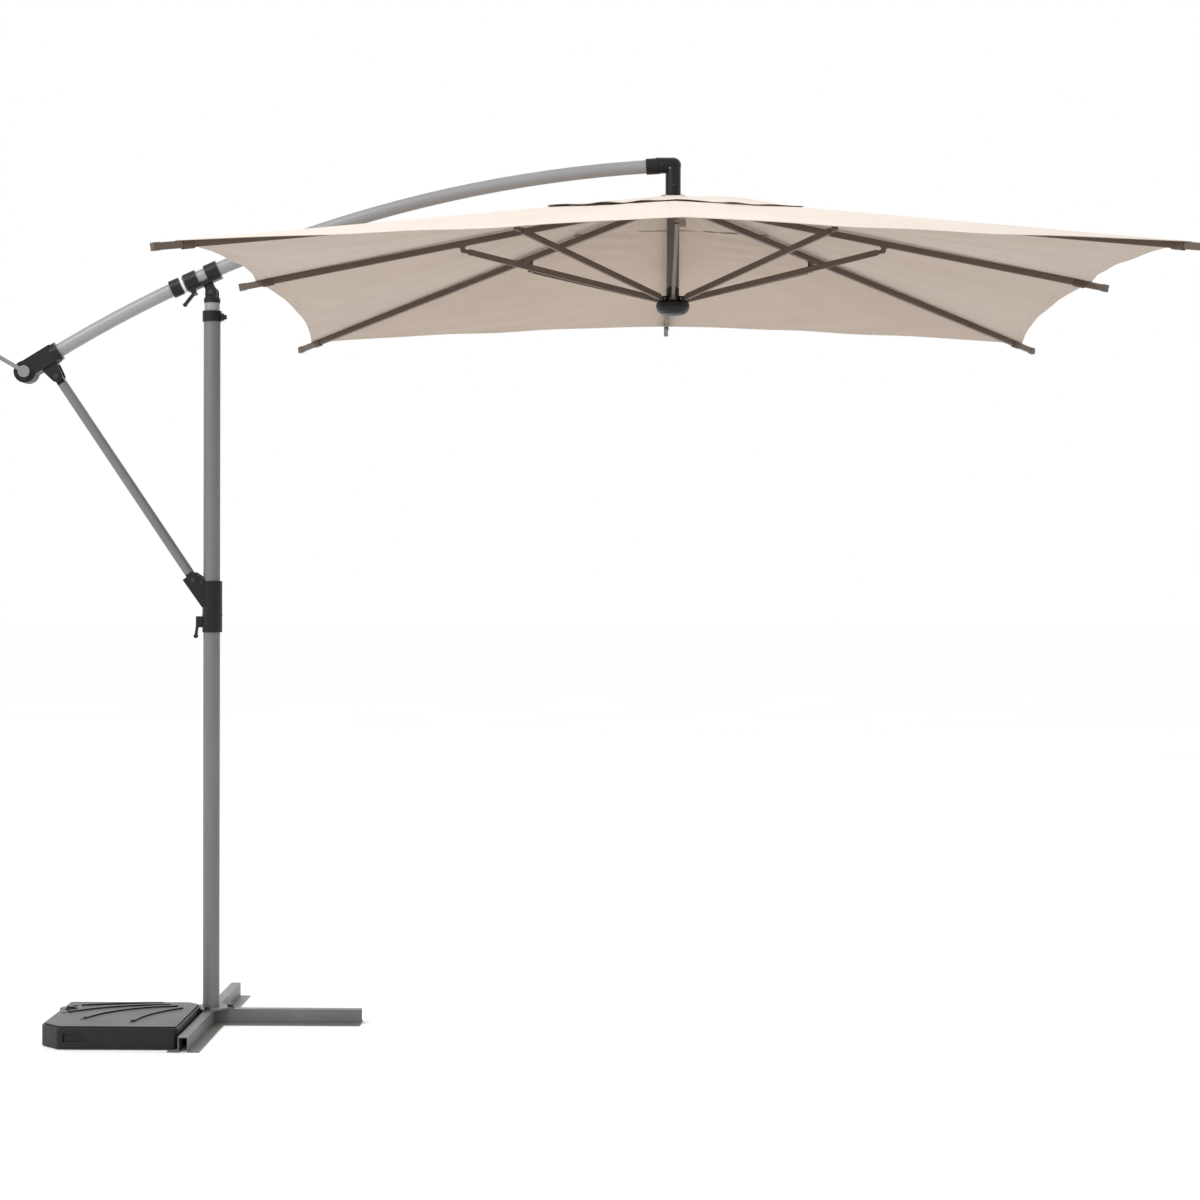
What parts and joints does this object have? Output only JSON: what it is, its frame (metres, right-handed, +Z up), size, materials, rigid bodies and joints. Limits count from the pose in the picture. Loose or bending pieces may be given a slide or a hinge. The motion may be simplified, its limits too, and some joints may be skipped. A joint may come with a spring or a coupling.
{
  "type": "cantilever parasol",
  "caption": "Square canopy on folding ribs and stays, hung by a pole from an arched tilting boom on a mast with a cross base and ballast slab.",
  "frame": {"origin": "on the floor, on the mast's axis, at the centre of the cross base", "axes": "+X from the mast towards the canopy's pole, +Z up the mast, +Y across, with the crank handle on the -Y side"},
  "size_m": [3.2385, 2.5146, 2.5024],
  "materials": {
    "base_paint": "satin",
    "black_steel": "satin",
    "mast_paint": "satin",
    "slab_plastic": "matte",
    "concrete": "matte",
    "black_plastic": "satin",
    "boom_metal": "satin",
    "pin_steel": "satin",
    "pale_plastic": "satin",
    "pole_paint": "satin",
    "cord_fibre": "matte",
    "canopy_fabric": "matte",
    "rib_paint": "satin"
  },
  "bodies": {
    "base": {"cross_bar_long": "base_paint", "cross_bars_side": "base_paint", "tie_plate": "base_paint", "mast_plate": "base_paint", "plate_bolts": "black_steel", "mast_tube": "mast_paint", "ballast_shell": "slab_plastic", "ballast_fill": "concrete", "filler_cap": "black_plastic", "mast_clamp": "black_plastic"},
    "clamp_screw": {"clamp_knob": "black_plastic"},
    "head": {"head_tube": "boom_metal", "neck": "black_plastic", "luff_pin": "pin_steel"},
    "boom": {"saddle": "black_plastic", "stop_collar": "black_plastic", "slide_washer": "pale_plastic", "boom_tube": "boom_metal", "crank_housing": "black_plastic", "housing_cover": "black_plastic", "tail_clevis": "black_plastic", "clevis_pin": "pin_steel", "elbow": "black_plastic", "pulley_axle": "pin_steel", "pole": "pole_paint", "crown": "black_plastic", "crown_pins": "pin_steel", "crown_cap": "black_plastic", "hoist_cord": "cord_fibre", "canopy": "canopy_fabric", "vent_cap": "canopy_fabric"},
    "tilt_handle": {"saddle_lever": "black_plastic"},
    "crank": {"crank_arm": "pin_steel", "cord_spool": "pin_steel", "cord_turns": "cord_fibre"},
    "grip": {"crank_knob": "black_plastic"},
    "wheel": {"pulley": "pale_plastic"},
    "brace": {"brace_tube": "mast_paint", "brace_ends": "black_plastic"},
    "sleeve": {"sleeve": "black_plastic", "foot_pin": "pin_steel"},
    "sleeve_catch": {"sleeve_lever": "black_plastic"},
    "hub": {"hub": "black_plastic", "hub_pins": "pin_steel"},
    "rib_1": {"rib_1": "rib_paint"},
    "stay_1": {"stay_1": "rib_paint"},
    "rib_2": {"rib_2": "rib_paint"},
    "stay_2": {"stay_2": "rib_paint"},
    "rib_3": {"rib_3": "rib_paint"},
    "stay_3": {"stay_3": "rib_paint"},
    "rib_4": {"rib_4": "rib_paint"},
    "stay_4": {"stay_4": "rib_paint"},
    "rib_5": {"rib_5": "rib_paint"},
    "stay_5": {"stay_5": "rib_paint"},
    "rib_6": {"rib_6": "rib_paint"},
    "stay_6": {"stay_6": "rib_paint"},
    "rib_7": {"rib_7": "rib_paint"},
    "stay_7": {"stay_7": "rib_paint"},
    "rib_8": {"rib_8": "rib_paint"},
    "stay_8": {"stay_8": "rib_paint"}
  },
  "joints": [
    {"name": "head_swivel", "type": "hinge", "parent": "base", "child": "head", "pos_m": [0, 0, 2], "axis": [0, 0, 1], "range_deg": [-180, 180]},
    {"name": "clamp_turn", "type": "hinge", "parent": "base", "child": "clamp_screw", "pos_m": [0.03, 0, 2.041], "axis": [1, 0, 0], "range_deg": [-90, 90]},
    {"name": "boom_luff", "type": "hinge", "parent": "head", "child": "boom", "pos_m": [0, 0, 2.112], "axis": [0, 1, 0], "range_deg": [0, 15]},
    {"name": "saddle_lock", "type": "hinge", "parent": "boom", "child": "tilt_handle", "pos_m": [-0.05112, 0, 2.11075], "axis": [0, 1, 0], "range_deg": [-45, 0]},
    {"name": "brace_swing", "type": "hinge", "parent": "boom", "child": "brace", "pos_m": [-0.446, 0, 1.868], "axis": [0, 1, 0], "range_deg": [-21, 0]},
    {"name": "sleeve_level", "type": "hinge", "parent": "brace", "child": "sleeve", "pos_m": [-0.051, 0, 1.281], "axis": [0, 1, 0], "range_deg": [0, 6]},
    {"name": "sleeve_lock", "type": "hinge", "parent": "sleeve", "child": "sleeve_catch", "pos_m": [-0.038, 0, 1.155], "axis": [0, 1, 0], "range_deg": [0, 80]},
    {"name": "crank_turn", "type": "hinge", "parent": "boom", "child": "crank", "pos_m": [-0.537, 0, 1.881], "axis": [0, 1, 0], "range_deg": [0, 3156]},
    {"name": "grip_spin", "type": "hinge", "parent": "crank", "child": "grip", "pos_m": [-0.63919, -0.06, 1.94], "axis": [0, 1, 0], "continuous": true},
    {"name": "pulley_spin", "type": "hinge", "parent": "boom", "child": "wheel", "pos_m": [1.32, 0, 2.469], "axis": [0, 1, 0], "range_deg": [0, 4315]},
    {"name": "canopy_fold", "type": "hinge", "parent": "boom", "child": "rib_1", "pos_m": [1.37, 0, 2.374], "axis": [0, 1, 0], "range_deg": [0, 72], "deforming": ["canopy", "vent_cap"]},
    {"name": "stay_1_swing", "type": "hinge", "parent": "rib_1", "child": "stay_1", "pos_m": [1.935, 0, 2.23365], "axis": [0, 1, 0], "range_deg": [-144, 0]},
    {"name": "rib_2_fold", "type": "hinge", "parent": "boom", "child": "rib_2", "pos_m": [1.35828, 0.02828, 2.374], "axis": [-0.7071, 0.7071, 0], "range_deg": [0, 72]},
    {"name": "stay_2_swing", "type": "hinge", "parent": "rib_2", "child": "stay_2", "pos_m": [1.7578, 0.4278, 2.23365], "axis": [-0.7071, 0.7071, 0], "range_deg": [-144, 0]},
    {"name": "rib_3_fold", "type": "hinge", "parent": "boom", "child": "rib_3", "pos_m": [1.33, 0.04, 2.374], "axis": [-1, 0, 0], "range_deg": [0, 72]},
    {"name": "stay_3_swing", "type": "hinge", "parent": "rib_3", "child": "stay_3", "pos_m": [1.33, 0.605, 2.23365], "axis": [-1, 0, 0], "range_deg": [-144, 0]},
    {"name": "rib_4_fold", "type": "hinge", "parent": "boom", "child": "rib_4", "pos_m": [1.30172, 0.02828, 2.374], "axis": [-0.7071, -0.7071, 0], "range_deg": [0, 72]},
    {"name": "stay_4_swing", "type": "hinge", "parent": "rib_4", "child": "stay_4", "pos_m": [0.9022, 0.4278, 2.23365], "axis": [-0.7071, -0.7071, 0], "range_deg": [-144, 0]},
    {"name": "rib_5_fold", "type": "hinge", "parent": "boom", "child": "rib_5", "pos_m": [1.29, 0, 2.374], "axis": [0, -1, 0], "range_deg": [0, 72]},
    {"name": "stay_5_swing", "type": "hinge", "parent": "rib_5", "child": "stay_5", "pos_m": [0.725, 0, 2.23365], "axis": [0, -1, 0], "range_deg": [-144, 0]},
    {"name": "rib_6_fold", "type": "hinge", "parent": "boom", "child": "rib_6", "pos_m": [1.30172, -0.02828, 2.374], "axis": [0.7071, -0.7071, 0], "range_deg": [0, 72]},
    {"name": "stay_6_swing", "type": "hinge", "parent": "rib_6", "child": "stay_6", "pos_m": [0.9022, -0.4278, 2.23365], "axis": [0.7071, -0.7071, 0], "range_deg": [-144, 0]},
    {"name": "rib_7_fold", "type": "hinge", "parent": "boom", "child": "rib_7", "pos_m": [1.33, -0.04, 2.374], "axis": [1, 0, 0], "range_deg": [0, 72]},
    {"name": "stay_7_swing", "type": "hinge", "parent": "rib_7", "child": "stay_7", "pos_m": [1.33, -0.605, 2.23365], "axis": [1, 0, 0], "range_deg": [-144, 0]},
    {"name": "rib_8_fold", "type": "hinge", "parent": "boom", "child": "rib_8", "pos_m": [1.35828, -0.02828, 2.374], "axis": [0.7071, 0.7071, 0], "range_deg": [0, 72]},
    {"name": "stay_8_swing", "type": "hinge", "parent": "rib_8", "child": "stay_8", "pos_m": [1.7578, -0.4278, 2.23365], "axis": [0.7071, 0.7071, 0], "range_deg": [-144, 0]},
    {"name": "hub_level", "type": "hinge", "parent": "stay_1", "child": "hub", "pos_m": [1.37, 0, 2.09331], "axis": [0, 1, 0], "range_deg": [0, 72]}
  ],
  "couplings": [
    {"joint": "brace_swing", "follows": "boom_luff", "ratio": -1.3215},
    {"joint": "sleeve_level", "follows": "boom_luff", "ratio": 0.32153},
    {"joint": "stay_1_swing", "follows": "canopy_fold", "ratio": -2},
    {"joint": "rib_2_fold", "follows": "canopy_fold", "ratio": 1},
    {"joint": "stay_2_swing", "follows": "canopy_fold", "ratio": -2},
    {"joint": "rib_3_fold", "follows": "canopy_fold", "ratio": 1},
    {"joint": "stay_3_swing", "follows": "canopy_fold", "ratio": -2},
    {"joint": "rib_4_fold", "follows": "canopy_fold", "ratio": 1},
    {"joint": "stay_4_swing", "follows": "canopy_fold", "ratio": -2},
    {"joint": "rib_5_fold", "follows": "canopy_fold", "ratio": 1},
    {"joint": "stay_5_swing", "follows": "canopy_fold", "ratio": -2},
    {"joint": "rib_6_fold", "follows": "canopy_fold", "ratio": 1},
    {"joint": "stay_6_swing", "follows": "canopy_fold", "ratio": -2},
    {"joint": "rib_7_fold", "follows": "canopy_fold", "ratio": 1},
    {"joint": "stay_7_swing", "follows": "canopy_fold", "ratio": -2},
    {"joint": "rib_8_fold", "follows": "canopy_fold", "ratio": 1},
    {"joint": "stay_8_swing", "follows": "canopy_fold", "ratio": -2},
    {"joint": "hub_level", "follows": "canopy_fold", "ratio": 1},
    {"joint": "crank_turn", "follows": "canopy_fold", "ratio": 43.804},
    {"joint": "pulley_spin", "follows": "canopy_fold", "ratio": 59.903}
  ]
}
